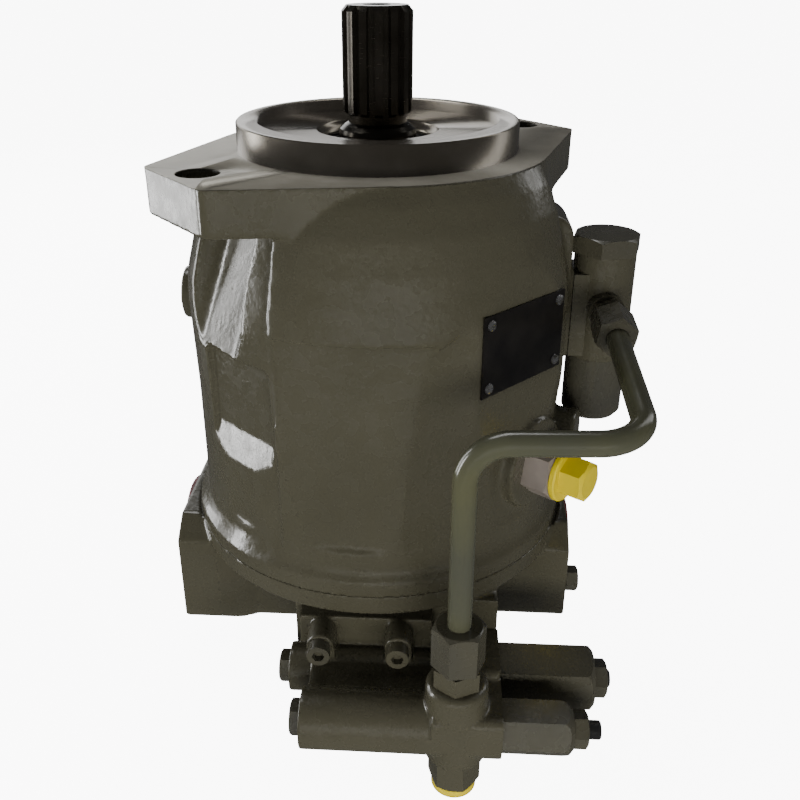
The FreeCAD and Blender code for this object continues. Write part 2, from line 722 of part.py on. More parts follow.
def valve_body():
    plate = box(-31, 30, -90, VALVE_Y - 0.05, -246, -196)
    upper = rod((-35, UP_Y, BORE_Z), (1, 0, 0), 11, 95.5)
    lower = rod((-26, LOW_Y, BORE_Z), (1, 0, 0), 13, 86.5)
    web = box(-24, 40, LOW_Y, UP_Y, -231, -213)
    back = box(30.5, VALVE_RIGHT, -112, VALVE_Y - 0.05, -237, -206)
    back = back.makeFillet(3, [e for e in back.Edges if e.CenterOfMass.y < -100])
    front = box(30.5, VALVE_RIGHT, -138, -100, -235, -209)
    front = front.makeFillet(12, [e for e in front.Edges if abs(e.CenterOfMass.y + 138) < 0.01
                                  and abs(e.CenterOfMass.z + 235) < 0.01])
    front = front.makeFillet(4, [e for e in front.Edges if abs(e.CenterOfMass.y + 138) < 0.01
                                 and abs(e.CenterOfMass.z + 209) < 0.01])
    tower = cyl(13.5, TOWER_LOW, TOWER_TOP, PIPE_X, LOW_Y)
    tower = tower.makeFillet(3, [e for e in tower.Edges if abs(e.CenterOfMass.z - TOWER_TOP) < 0.01])
    shape = fuse([plate, upper, lower, web, back, front, tower])
    for x, z in valve_screw_points()[:2]:
        boss = rod((x, -84, z), (0, -1, 0), 6.2, 19.5)
        shape = fuse([shape, boss, box(x - 6.2, x + 6.2, -100, -84, -222, z)])
    for x, z in valve_screw_points():
        shape = shape.cut(rod((x, -80, z), (0, -1, 0), 3.3, 60))
    return valve_bores(shape)


def valve_bores(shape):
    for y, x0 in ((UP_Y, -35.0), (LOW_Y, -26.0)):
        shape = shape.cut(rod((x0 - 1, y, BORE_Z), (1, 0, 0), SPOOL_R + 0.03, VALVE_RIGHT - x0 + 2))
        shape = shape.cut(rod((x0 - 1, y, BORE_Z), (1, 0, 0), 6.05, 9))
        shape = shape.cut(rod((VALVE_RIGHT - 9, y, BORE_Z), (1, 0, 0), 7.55, 10))
    shape = shape.cut(cyl(6.05, TOWER_TOP - 7.9, TOWER_TOP + 4, PIPE_X, LOW_Y))
    shape = shape.cut(cyl(2.5, -230, TOWER_TOP - 5, PIPE_X, LOW_Y))
    return shape.cut(cyl(6.05, TOWER_LOW - 2, -227.2, PIPE_X, LOW_Y))


def valve_screws():
    out = []
    heads = (-103.6, -103.6, -90.1, -90.1)
    for (x, z), y in zip(valve_screw_points(), heads):
        length = abs(y) - abs(VALVE_Y) + 16
        out.append(aim(socket_screw(3.0, length, 5.0, 6.0, 5), (x, y, z), (0, -1, 0)))
    return group(out)


def plug(p, d, af, head, r, depth):
    shape = fuse([hexagon(af, 0.05, head, 0.8), cyl(r, -depth, 0.1)])
    return aim(shape, p, d, 90)


def blanking_plugs():
    return group([plug((-35, UP_Y, BORE_Z), (-1, 0, 0), 13, 5, 6, 7.5),
                  plug((-26, LOW_Y, BORE_Z), (-1, 0, 0), 14, 4.6, 6, 7.5),
                  plug((PRESSURE_X, -38, -209), (1, 0, 0), 11, 6, 4, 11)])


def spring_housing(y, af, x1, turn):
    x0 = VALVE_RIGHT + 0.05
    rc = af / math.sqrt(3.0)
    bar = hexagon(af, 0, x1 - x0)
    r_end = rc - 3.5
    dome = revolved([(0, 0), (rc + 1, 0), (rc + 1, x1 - x0 - 7), (rc - 0.6, x1 - x0 - 2.6),
                     (r_end, x1 - x0), (0, x1 - x0)])
    bar = bar.common(dome)
    bar = fuse([bar, cyl(7.5, -8.5, 1)])
    bar = bar.cut(cyl(6.2, -9, x1 - x0 - 7)).cut(cyl(4.05, 0, x1))
    return aim(bar, (x0, y, BORE_Z), (1, 0, 0), turn)


def spring_housings():
    return group([spring_housing(UP_Y, 27.5, UP_HOUSE_END, 47),
                  spring_housing(LOW_Y, 21, LOW_HOUSE_END, 37)])


def lock_nut(y, x0, af, length):
    nut = hexagon(af, 0, length, 0.9).cut(cyl(4.05, -1, length + 1))
    return aim(nut, (x0 + 0.05, y, BORE_Z), (1, 0, 0), 15)


def lock_nuts():
    return group([lock_nut(UP_Y, UP_HOUSE_END, 15, 6.3), lock_nut(LOW_Y, LOW_HOUSE_END, 14, 6.4)])


def adjuster(y, x0, x1):
    screw = cyl(4.0, 0, x1 - x0)
    screw = screw.cut(hexagon(4, x1 - x0 - 4, x1 - x0 + 1))
    screw = screw.cut(revolved([(3.4, x1 - x0), (6, x1 - x0), (6, x1 - x0 - 2.6)]))
    return aim(screw, (x0, y, BORE_Z), (1, 0, 0))


def spool(length):
    half = length / 2
    r = SPOOL_R
    body = revolved([(0, -half), (r - 0.3, -half), (r, -half + 0.3), (r, -half + 12), (3.2, -half + 13),
                     (3.2, -6), (r, -5), (r, 5), (3.2, 6), (3.2, half - 13), (r, half - 12), (r, half - 3),
                     (2.4, half - 3), (2.4, half + 2), (0, half + 2)])
    return body


def control_spool(y, x_mid):
    return aim(spool(58), (x_mid, y, BORE_Z), (1, 0, 0))


def valve_springs():
    out = []
    for y, x0, x1 in ((UP_Y, 52.0, 86.0), (LOW_Y, 52.0, 78.0)):
        seat = fuse([cyl(5.6, x1 - x0, x1 - x0 + 2), cyl(2.6, x1 - x0 - 4, x1 - x0 + 1)])
        out.append(aim(coil(4.3, 0.8, 0, x1 - x0 - 0.05, 9), (x0, y, BORE_Z), (1, 0, 0)))
        out.append(aim(seat, (x0, y, BORE_Z), (1, 0, 0)))
    out.append(moved(coil(5.2, 0.9, -119.5, -103.2, 5), PV_X, 0, 0))
    return group(out)


# ---------------------------------------------------------------- pipe and fittings

def control_pipe():
    path = [(PV_X + 0.5, PV_NUT_Y - 4.5, PV_FIT_Z), (PV_X + 0.5, -125.0, PV_FIT_Z - 9.5),
            (PIPE_X, LOW_Y, -83.5), (PIPE_X, LOW_Y, NUT_LOW + 4)]
    return bent_tube(path, [19, 17], 5.0, 3.5)


def pipe_direction():
    d = vec(0, -125.0 - (PV_NUT_Y - 4.5), -9.5).normalize()
    return (d.x, d.y, d.z)


def union_nut(length, af):
    nut = hexagon(af, 0, length, 1.2)
    nut = nut.cut(cyl(7.5, -1, length * 0.55)).cut(cyl(5.15, -1, length + 1))
    return nut


def pipe_nuts():
    low = aim(union_nut(NUT_TOP - NUT_LOW, 20), (PIPE_X, LOW_Y, NUT_LOW), (0, 0, 1), 10)
    d = pipe_direction()
    back = 3.3
    start = (PV_X + 0.5, PV_NUT_Y - 4.5 - d[1] * back, PV_FIT_Z - d[2] * back)
    far = aim(union_nut(18, 17), start, d, 20)
    return group([low, far])


def valve_adapter():
    hexp = hexagon(19, TOWER_TOP + 0.05, NUT_LOW - 0.5)
    stem = fuse([cyl(6, TOWER_TOP - 7.6, TOWER_TOP + 1), cyl(7.3, NUT_LOW - 1, NUT_LOW + 3.5)])
    shape = moved(turned(hexp, 25), PIPE_X, LOW_Y, 0)
    shape = fuse([shape, moved(stem, PIPE_X, LOW_Y, 0)])
    return shape.cut(cyl(3.0, TOWER_TOP - 8, NUT_LOW + 4, PIPE_X, LOW_Y))


def port_x_fitting():
    collar = cyl(9.2, TOWER_LOW - 2.5, TOWER_LOW - 0.05, PIPE_X, LOW_Y)
    hexp = aim(hexagon(20, 0, TOWER_LOW - 2 - X_END, 1.5), (PIPE_X, LOW_Y, TOWER_LOW - 2), (0, 0, -1), 10)
    shape = fuse([cyl(6, TOWER_LOW - 1, -227.4, PIPE_X, LOW_Y), collar, hexp])
    shape = shape.cut(cyl(5.05, X_END - 1, X_END + 10.2, PIPE_X, LOW_Y))
    return shape.cut(cyl(2.5, X_END - 1, -226, PIPE_X, LOW_Y))


def power_adapter():
    hexp = hexagon(14, 0, 3.6)
    stem = fuse([cyl(5, -8, 0.5), cyl(6.4, 3, 10)])
    shape = aim(fuse([hexp, stem]).cut(cyl(2.5, -9, 12)), (PV_X, -20.4, PV_FIT_Z), (0, -1, 0), 20)
    return shape


def drain_axis():
    a = math.radians(DRAIN_AZ)
    return (math.cos(a), math.sin(a), 0)


def drain_point(r):
    d = drain_axis()
    return (r * d[0], r * d[1], DRAIN_Z)


def drain_adapter():
    shape = fuse([cyl(9, -14, 0.5), hexagon(25, 0.05, 13, 1.5)])
    shape = shape.cut(cyl(6.05, 1, 14)).cut(cyl(4, -15, 5))
    return aim(shape, drain_point(DRAIN_FACE), drain_axis(), 12)


def hex_adapters():
    return group([valve_adapter(), port_x_fitting(), power_adapter(), drain_adapter()])


def yellow_caps():
    drain = fuse([revolved([(0, 0.1), (12.6, 0.1), (12.9, 0.6), (12.9, 2.2), (12.2, 3.0), (0, 3.0)]),
                  hexagon(17.5, 2.9, 14, 1.6), cyl(5.9, -8, 0.5)])
    drain = aim(drain, drain_point(DRAIN_FACE + 13), drain_axis(), 20)
    low = fuse([revolved([(0, 0.1), (9.6, 0.1), (9.9, 0.5), (9.9, 3.4), (9.2, 4.2), (0, 4.2)]),
                cyl(4.95, -10, 0.5)])
    return group([drain, aim(low, (PIPE_X, LOW_Y, X_END), (0, 0, -1))])


# ---------------------------------------------------------------- power valve

def power_valve_body():
    body = cyl(PV_R, -99, -47.5, PV_X, 0)
    block = box(92.2, PV_X, -12, 12, -97, -56)
    nose = rod((PV_X, 0, PV_FIT_Z), (0, -1, 0), 8.6, 19.5)
    neck = rod((PV_X, 0, PV_FIT_Z), (0, -1, 0), 7.0, 20.4)
    shape = fuse([body, block, nose, neck])
    shape = shape.cut(cyl(4.03, -110, -40, PV_X, 0))
    shape = shape.cut(cyl(9.05, -58, -40, PV_X, 0)).cut(cyl(9.05, -110, -91, PV_X, 0))
    shape = shape.cut(rod((PV_X, -12, PV_FIT_Z), (0, -1, 0), 5.05, 10))
    shape = shape.cut(rod((PV_X, 0, PV_FIT_Z), (0, -1, 0), 2.5, 14))
    return shape.cut(rod((90, 0, PV_FIT_Z - 14), (1, 0, 0), 3, 16))


def power_valve_caps():
    top = fuse([hexagon(29, 0.05, 8.5, 1.3), cyl(9, -8, 0.5)])
    top = aim(top, (PV_X, 0, -47.5), (0, 0, 1), 14)
    low = revolved([(0, -131), (12.5, -131), (PV_R, -128.5), (PV_R, -99.05), (9, -99.05), (9, -92.5),
                    (6.5, -92.5), (6.5, -120), (0, -120)])
    return group([top, moved(low, PV_X, 0, 0)])


def power_spool():
    body = revolved([(0, -98), (3.7, -98), (4.0, -97.7), (4.0, -84), (2.6, -83), (2.6, -76), (4.0, -75),
                     (4.0, -60), (0, -60)])
    foot = fuse([cyl(6.2, -100.8, -98.5), cyl(2.5, -106, -97.5)])
    return moved(fuse([body, foot]), PV_X, 0, 0)


# ---------------------------------------------------------------- build

def build():
    os.makedirs("parts", exist_ok=True)
    save("housing", housing())
    save("port_plate", port_plate())
    save("port_plate_screws", port_plate_screws())
    save("housing_o_ring", housing_o_ring())
    save("port_covers", port_covers())
    save("nameplate", nameplate())
    save("nameplate_rivets", nameplate_rivets())
    save("shaft_seal", shaft_seal())
    save("seal_circlip", seal_circlip())
    save("bearing_cups", bearing_cups())
    save("bearing_cones", bearing_cones())
    save("bearing_rollers", bearing_rollers())
    save("drive_shaft", drive_shaft())
    save("cylinder_barrel", cylinder_barrel())
    save("retainer_ball", retainer_ball())
    save("pressure_pins", pressure_pins())
    save("barrel_spring", barrel_spring())
    save("distributor_plate", distributor_plate())
    save("swash_plate", swash_plate())
    save("cradle_shells", cradle_shells())
    save("cradle_rollers", cradle_rollers())
    save("retainer_plate", retainer_plate())
    for i, (x, y, z) in enumerate(ball_points()):
        save("slipper_" + str(i + 1), moved(slipper(), x, y, z))
        save("piston_" + str(i + 1), moved(piston(), x, y, z))
    save("stroking_piston", stroking_piston())
    save("return_piston", return_piston())
    save("return_spring", return_spring())
    save("valve_body", valve_body())
    save("valve_screws", valve_screws())
    save("blanking_plugs", blanking_plugs())
    save("spring_housings", spring_housings())
    save("lock_nuts", lock_nuts())
    save("pressure_adjuster", adjuster(UP_Y, 92.0, UP_HOUSE_END + 8.0))
    save("flow_adjuster", adjuster(LOW_Y, 80.2, LOW_HOUSE_END + 12.0))
    save("pressure_spool", control_spool(UP_Y, 19.0))
    save("flow_spool", control_spool(LOW_Y, 19.0))
    save("valve_springs", valve_springs())
    save("control_pipe", control_pipe())
    save("pipe_nuts", pipe_nuts())
    save("hex_adapters", hex_adapters())
    save("yellow_caps", yellow_caps())
    save("power_valve_body", power_valve_body())
    save("power_valve_caps", power_valve_caps())
    save("power_spool", power_spool())


build()
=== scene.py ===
"""Looks of the axial piston pump: materials, castings with soft edges, floor, light and camera."""
import math

import bpy
import bmesh
import numpy as np
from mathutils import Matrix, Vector


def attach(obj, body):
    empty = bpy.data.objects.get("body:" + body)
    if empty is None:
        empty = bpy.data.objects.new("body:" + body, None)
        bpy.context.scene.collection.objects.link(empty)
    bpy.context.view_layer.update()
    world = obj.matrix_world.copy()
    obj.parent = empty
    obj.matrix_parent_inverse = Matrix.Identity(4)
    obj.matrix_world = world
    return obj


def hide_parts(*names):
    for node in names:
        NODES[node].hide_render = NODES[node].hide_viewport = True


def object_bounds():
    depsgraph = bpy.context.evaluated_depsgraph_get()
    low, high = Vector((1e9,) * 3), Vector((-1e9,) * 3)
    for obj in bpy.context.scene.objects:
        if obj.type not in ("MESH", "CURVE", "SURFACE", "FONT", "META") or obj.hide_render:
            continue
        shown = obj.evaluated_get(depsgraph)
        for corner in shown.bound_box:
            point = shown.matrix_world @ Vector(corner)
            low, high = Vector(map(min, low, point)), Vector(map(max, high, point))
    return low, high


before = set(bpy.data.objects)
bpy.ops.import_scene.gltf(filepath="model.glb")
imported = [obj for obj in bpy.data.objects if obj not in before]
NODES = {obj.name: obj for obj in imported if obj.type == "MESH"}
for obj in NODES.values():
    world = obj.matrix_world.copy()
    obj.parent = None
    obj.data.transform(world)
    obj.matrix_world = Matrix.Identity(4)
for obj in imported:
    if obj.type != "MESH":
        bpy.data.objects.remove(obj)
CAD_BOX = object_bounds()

# Camera: the place, aim and lens that show the pump at the photograph's angle.
CAM_PLACE = (0.0292, -0.4182, 0.0822)
CAM_PITCH = 24.92
CAM_YAW = 3.31
CAM_LENS = 40.95
CAM_SHIFT = (0.0139, -0.0379)


# ---------------------------------------------------------------- material kit

class Mat:
    """One node material with short helpers for its node tree."""

    def __init__(self, name):
        self.mat = bpy.data.materials.new(name)
        self.mat.use_nodes = True
        self.tree = self.mat.node_tree
        self.bsdf = self.tree.nodes["Principled BSDF"]
        coords = self.tree.nodes.new("ShaderNodeTexCoord")
        self.place = coords.outputs["Object"]

    def node(self, kind, inputs=None, **props):
        item = self.tree.nodes.new(kind)
        for key, value in props.items():
            setattr(item, key, value)
        for key, value in (inputs or {}).items():
            self.put(item.inputs[key], value)
        return item

    def put(self, socket, value):
        if isinstance(value, bpy.types.NodeSocket):
            self.tree.links.new(value, socket)
        else:
            socket.default_value = value

    def set(self, **values):
        for key, value in values.items():
            self.put(self.bsdf.inputs[key.replace("_", " ")], value)

    def noise(self, scale, detail=3.0, rough=0.5, place=None):
        item = self.node("ShaderNodeTexNoise", {"Vector": place or self.place, "Scale": scale,
                                                "Detail": detail, "Roughness": rough})
        return item.outputs["Fac"]

    def cells(self, scale, smooth=0.6):
        item = self.node("ShaderNodeTexVoronoi", {"Vector": self.place, "Scale": scale,
                                                  "Smoothness": smooth}, feature="SMOOTH_F1")
        return item.outputs["Distance"]

    def math(self, op, a, b=0.0, c=0.0):
        item = self.node("ShaderNodeMath", operation=op)
        for socket, value in zip(item.inputs, (a, b, c)):
            self.put(socket, value)
        return item.outputs[0]

    def span(self, value, lo, hi, out_lo=0.0, out_hi=1.0):
        item = self.node("ShaderNodeMapRange", {"Value": value, "From Min": lo, "From Max": hi,
                                                "To Min": out_lo, "To Max": out_hi})
        return item.outputs["Result"]

    def mix(self, fac, a, b):
        item = self.node("ShaderNodeMix", data_type="RGBA")
        self.put(item.inputs["Factor"], fac)
        self.put(item.inputs["A"], a)
        self.put(item.inputs["B"], b)
        return item.outputs["Result"]

    def blend(self, fac, a, b):
        item = self.node("ShaderNodeMix", data_type="FLOAT")
        self.put(item.inputs["Factor"], fac)
        self.put(item.inputs["A"], a)
        self.put(item.inputs["B"], b)
        return item.outputs["Result"]

    def axes(self):
        item = self.node("ShaderNodeSeparateXYZ", {"Vector": self.place})
        return item.outputs["X"], item.outputs["Y"], item.outputs["Z"]

    def bump(self, height, distance, strength=1.0, normal=None):
        item = self.node("ShaderNodeBump", {"Height": height, "Distance": distance,
                                            "Strength": strength})
        if normal is not None:
            self.put(item.inputs["Normal"], normal)
        return item.outputs["Normal"]


def rgba(r, g, b):
    return (r, g, b, 1.0)


OLIVE = rgba(0.056, 0.052, 0.034)
OLIVE_DARK = rgba(0.049, 0.0455, 0.029)
OLIVE_PIPE = rgba(0.066, 0.066, 0.036)
PAINT_COAT = 0.25
COAT_ROUGH = 0.1

# Scratches on bare steel: how many to the metre, and how they stretch along each axis.
SCRATCH_SCALE = 260.0
SCRATCH_STRETCH = (1, 1, 8)

# Where the housing's paint gives way to machined metal, in metres.
FACE_LOW, FACE_HIGH = -0.0006, -0.0002
PILOT_IN, PILOT_OUT = 0.0640, 0.0644
PILOT_LOW, PILOT_HIGH = -0.0003, 0.0002


def orange_peel(m, grain, fade=None):
    """Normal of sprayed casting: fine peel over soft sand-cast waves."""
    peel = m.math("ADD", m.noise(520.0, 2.0, 0.5), m.math("MULTIPLY", m.cells(300.0), 0.7))
    wave = m.noise(60.0, 2.0)
    if fade is not None:
        peel = m.math("MULTIPLY", peel, fade)
        wave = m.math("MULTIPLY", wave, fade)
    soft = m.bump(wave, 0.0012, 0.3 * grain)
    return m.bump(peel, 0.0003, 0.45 * grain, soft)


def enamel(name, base, dark, grain=1.0, rough=(0.2, 0.34)):
    """Semi-gloss paint; grain is how strongly the casting under it shows."""
    m = Mat(name)
    patch = m.noise(28.0, 4.0)
    speck = m.noise(900.0, 2.0)
    tone = m.mix(m.span(patch, 0.35, 0.7), base, dark)
    m.set(Base_Color=m.mix(m.span(speck, 0.68, 0.8, 0.0, 0.2), tone, rgba(0.09, 0.088, 0.074)))
    m.set(Roughness=m.span(m.noise(140.0, 3.0), 0.3, 0.7, rough[0], rough[1]))
    m.set(Coat_Weight=PAINT_COAT, Coat_Roughness=COAT_ROUGH, Specular_IOR_Level=0.5)
    m.set(Normal=orange_peel(m, grain))
    return m.mat


def housing_enamel(name):
    """Cast enamel with the machined, oiled flange face and pilot."""
    m = Mat(name)
    x, y, z = m.axes()
    radius = m.math("SQRT", m.math("ADD", m.math("MULTIPLY", x, x), m.math("MULTIPLY", y, y)))
    top = m.span(z, FACE_LOW, FACE_HIGH)
    pilot = m.math("MULTIPLY", m.span(radius, PILOT_OUT, PILOT_IN),
                   m.span(z, PILOT_LOW, PILOT_HIGH))
    patch = m.noise(26.0, 4.0)
    paint = m.mix(m.span(patch, 0.35, 0.7), OLIVE, OLIVE_DARK)
    smear = m.span(m.noise(45.0, 4.0, 0.6), 0.35, 0.65)
    turned = m.mix(smear, rgba(0.22, 0.2, 0.165), rgba(0.16, 0.142, 0.112))
    face = m.mix(smear, rgba(0.32, 0.3, 0.25), rgba(0.25, 0.233, 0.19))
    m.set(Base_Color=m.mix(pilot, m.mix(top, paint, face), turned))
    m.set(Metallic=m.math("MAXIMUM", m.math("MULTIPLY", top, 0.5),
                          m.math("MULTIPLY", pilot, 0.9)))
    cast_rough = m.span(m.noise(140.0, 3.0), 0.3, 0.7, 0.2, 0.34)
    m.set(Roughness=m.blend(pilot, m.blend(top, cast_rough, 0.42), 0.26))
    m.set(Coat_Weight=m.span(top, 0.0, 1.0, PAINT_COAT, 0.1), Coat_Roughness=COAT_ROUGH)
    rings = m.node("ShaderNodeTexWave", {"Vector": m.place, "Scale": 420.0, "Distortion": 0.4,
                                         "Detail": 1.0},
                   wave_type="RINGS", rings_direction="Z").outputs["Fac"]
    cast = orange_peel(m, 1.0, m.span(top, 0.0, 1.0, 1.0, 0.05))
    m.set(Normal=m.bump(m.math("MULTIPLY", rings, top), 0.00002, 0.5, cast))
    return m.mat


def steel(name, light, dark, rough=(0.25, 0.4), metallic=0.9):
    """Bare steel: fine directional scratches, oil-dark patches."""
    m = Mat(name)
    mapping = m.node("ShaderNodeMapping", {"Vector": m.place, "Scale": SCRATCH_STRETCH})
    lines = m.noise(SCRATCH_SCALE, 4.0, 0.6, mapping.outputs["Vector"])
    patch = m.noise(70.0, 4.0)
    m.set(Base_Color=m.mix(m.span(patch, 0.35, 0.7), light, dark), Metallic=metallic)
    m.set(Roughness=m.span(lines, 0.3, 0.7, rough[0], rough[1]))
    m.set(Normal=m.bump(lines, 0.0001, 0.35))
    return m.mat


def plastic(name, light, dark, rough):
    """Moulded plastic: faint tone change and a very fine grain."""
    m = Mat(name)
    m.set(Base_Color=m.mix(m.span(m.noise(90.0, 3.0), 0.35, 0.65), light, dark))
    m.set(Roughness=m.span(m.noise(200.0, 2.0), 0.35, 0.65, rough[0], rough[1]))
    m.set(Normal=m.bump(m.noise(500.0, 2.0), 0.0001, 0.4))
    return m.mat


PAINT = enamel("enamel_cast", OLIVE, OLIVE_DARK, 1.0)
HOUSING = housing_enamel("enamel_housing")
PAINT_SMOOTH = enamel("enamel_machined", OLIVE, rgba(0.042, 0.04, 0.031), 0.12,
                      (0.22, 0.32))
PAINT_PIPE = enamel("enamel_pipe", OLIVE_PIPE, rgba(0.052, 0.053, 0.037), 0.08,
                    (0.18, 0.26))
SHAFT = steel("shaft_steel", rgba(0.045, 0.04, 0.032), rgba(0.022, 0.019, 0.014),
              (0.16, 0.28), 0.8)
GROUND = steel("ground_steel", rgba(0.5, 0.5, 0.49), rgba(0.38, 0.38, 0.37), (0.2, 0.32))
BEARING = steel("bearing_steel", rgba(0.6, 0.6, 0.59), rgba(0.5, 0.5, 0.49), (0.12, 0.2), 1.0)
IRON = steel("barrel_iron", rgba(0.33, 0.32, 0.3), rgba(0.24, 0.23, 0.21), (0.35, 0.5))
BRONZE = steel("slipper_bronze", rgba(0.6, 0.4, 0.17), rgba(0.48, 0.31, 0.13), (0.25, 0.4))
SPRING = steel("spring_steel", rgba(0.1, 0.1, 0.1), rgba(0.055, 0.055, 0.055), (0.25, 0.4))
RUBBER = plastic("seal_rubber", rgba(0.010, 0.010, 0.010), rgba(0.018, 0.018, 0.017),
                 (0.45, 0.6))
LABEL = plastic("nameplate_black", rgba(0.0045, 0.0040, 0.0040), rgba(0.009, 0.008, 0.007),
                (0.3, 0.42))
RIVET = steel("rivet_aluminium", rgba(0.85, 0.85, 0.85), rgba(0.7, 0.7, 0.7), (0.2, 0.35), 1.0)
YELLOW = plastic("cap_yellow", rgba(0.58, 0.45, 0.0), rgba(0.5, 0.385, 0.0), (0.4, 0.5))
RED = plastic("cover_red", rgba(0.11, 0.008, 0.008), rgba(0.07, 0.006, 0.006), (0.35, 0.5))


# Of the fittings, only the drain adapter lies behind this Y and below this Z, in metres.
BARE_ABOVE_Y = -0.1
BARE_BELOW_Z = -0.1


def adapter_look(name):
    """Painted fittings, with the one on the drain boss left bare."""
    m = Mat(name)
    x, y, z = m.axes()
    bare = m.math("MULTIPLY", m.math("GREATER_THAN", y, BARE_ABOVE_Y),
                  m.math("LESS_THAN", z, BARE_BELOW_Z))
    patch = m.noise(70.0, 4.0)
    zinc = m.mix(m.span(patch, 0.35, 0.7), rgba(0.42, 0.36, 0.31), rgba(0.32, 0.275, 0.235))
    m.set(Base_Color=m.mix(bare, m.mix(patch, OLIVE, OLIVE_DARK), zinc))
    m.set(Metallic=m.math("MULTIPLY", bare, 0.6))
    m.set(Roughness=m.blend(bare, m.span(m.noise(140.0, 3.0), 0.3, 0.7, 0.22, 0.32), 0.4))
    m.set(Coat_Weight=m.span(bare, 0.0, 1.0, PAINT_COAT, 0.0), Coat_Roughness=COAT_ROUGH)
    m.set(Normal=orange_peel(m, 0.12))
    return m.mat


ADAPTERS = adapter_look("enamel_adapters")

LOOKS = {
    "port_plate": PAINT, "valve_body": PAINT, "power_valve_body": PAINT, "housing": HOUSING,
    "port_plate_screws": PAINT_SMOOTH, "valve_screws": PAINT_SMOOTH, "blanking_plugs": PAINT_SMOOTH,
    "spring_housings": PAINT_SMOOTH, "lock_nuts": PAINT_SMOOTH, "pipe_nuts": PAINT_SMOOTH,
    "hex_adapters": ADAPTERS, "power_valve_caps": PAINT_SMOOTH, "control_pipe": PAINT_PIPE,
    "pressure_adjuster": SPRING, "flow_adjuster": SPRING, "seal_circlip": SPRING,
    "drive_shaft": SHAFT, "cylinder_barrel": IRON, "nameplate": LABEL, "nameplate_rivets": RIVET,
    "yellow_caps": YELLOW, "port_covers": RED, "shaft_seal": RUBBER, "housing_o_ring": RUBBER,
    "bearing_cups": BEARING, "bearing_cones": BEARING, "bearing_rollers": BEARING,
    "cradle_rollers": BEARING, "cradle_shells": BRONZE, "barrel_spring": SPRING,
    "return_spring": SPRING, "valve_springs": SPRING,
}


def paint_nodes():
    for name, node in NODES.items():
        look = LOOKS.get(name, BRONZE if name.startswith("slipper") else GROUND)
        for slot in node.material_slots:
            slot.material = look
        if not node.material_slots:
            node.data.materials.append(look)


# ---------------------------------------------------------------- soft castings

# Places on the castings, in millimetres and degrees.
EAR_AZ, EAR_R = 41.0, 90.5
PLATE_AZ, PLATE_C, PLATE_MID = -43.5, 90.0, -69.5
PLATE_HALF_W, PLATE_HALF_H = 26.2, 18.2
DRAIN_AZ, DRAIN_Z = -36.0, -132.0
POWER_PAD_X, POWER_PAD_Z, POWER_PAD_HALF_W, POWER_PAD_HALF_H = 91.0, -76.0, 11.0, 21.0
POWER_HOLE_Z = -86.0
SCREW_X, SCREW_Y = 70.0, 29.0
CAVITY_R = 66.0
ARM_HALF_W, ARM_REACH = 13.0, 79.5
SPLIT_Z = -181.0
PORT_Z = -208.0
SPIGOT_R = 95.2
TOWER_X, TOWER_Y = 41.0, -125.0
VALVE_MID_Z = -216.5
MM = 1000.0
SHARP_ANGLE = 32
BEVEL_ANGLE = 35
FACE_CUT = -0.001


def ramp(value, low, high):
    return np.clip((value - low) / (high - low), 0.0, 1.0)


def along(points, azimuth):
    """Distance out along an azimuth, and sideways to it, in plan."""
    a = math.radians(azimuth)
    x, y = points[:, 0], points[:, 1]
    return x * math.cos(a) + y * math.sin(a), y * math.cos(a) - x * math.sin(a)


def from_ear(points):
    out, side = along(points, EAR_AZ)
    return np.hypot(np.abs(out) - EAR_R, side)


# The stroking piston's bore as shown: axis (x, y), radius and height range, in millimetres.
# The radius is 0.2 over the CAD bore's, so that the voxel mesh stays clear of the piston.
STROKER_BORE = ((0.0, -66.0), 7.75, -178.0, -118.0)


def housing_freedom(points):
    """1 where the housing's voxel mesh may be evened out, 0 at machined places."""
    x, y, z = points.T
    free = ramp(z, -1.5, -5.0) * ramp(z, -179.6, -177.0)
    free *= np.maximum(ramp(from_ear(points), 10.5, 12.5), ramp(z, -21.5, -24.0))
    free *= ramp(np.hypot(x, y), CAVITY_R, 70.0)
    arms = np.maximum(np.abs(x) - ARM_HALF_W, np.abs(y) - ARM_REACH)
    free *= np.maximum(ramp(arms, 0.0, 2.0), ramp(z, -57.0, -54.0))
    screw = np.hypot(np.abs(x) - SCREW_X, np.abs(y) - SCREW_Y)
    free *= np.maximum(ramp(screw, 6.8, 8.5), ramp(z, -163.0, -160.0))
    out, side = along(points, DRAIN_AZ)
    free *= np.maximum(ramp(np.hypot(side, z - DRAIN_Z), 15.0, 18.0), ramp(out, 68.0, 66.0))
    pad = np.maximum(np.abs(y) - POWER_PAD_HALF_W, np.abs(z - POWER_PAD_Z) - POWER_PAD_HALF_H)
    free *= np.maximum(ramp(pad, 0.0, 2.0), ramp(x, POWER_PAD_X, 88.0))
    free *= np.maximum(ramp(np.hypot(y, z - POWER_HOLE_Z), 3.6, 5.0), ramp(-x, -60.0, -40.0))
    out, side = along(points, PLATE_AZ)
    plate = np.maximum(np.abs(side) - PLATE_HALF_W, np.abs(z - PLATE_MID) - PLATE_HALF_H)
    return free * np.maximum(ramp(plate, 0.0, 2.0), ramp(np.abs(out - PLATE_C), 1.0, 2.0))


def plate_freedom(points):
    """The same for the port plate: spigot, ports, core and pads are held."""
    x, y, z = points.T
    r = np.hypot(x, y)
    top = ramp(np.maximum(r - SPIGOT_R, SPLIT_Z - 1.0 - z), 0.0, 2.0)
    port = np.maximum(ramp(np.hypot(y, z - PORT_Z), 19.8, 21.5),
                      ramp(-np.abs(x), -30.0, -28.0))
    core = np.maximum(ramp(r, 72.0, 74.0), ramp(z, -216.0, -218.0))
    pads = ramp(x, -98.0, -95.0) * ramp(x, 96.0, 93.0) * ramp(y, -81.5, -79.0)
    return pads * top * port * core


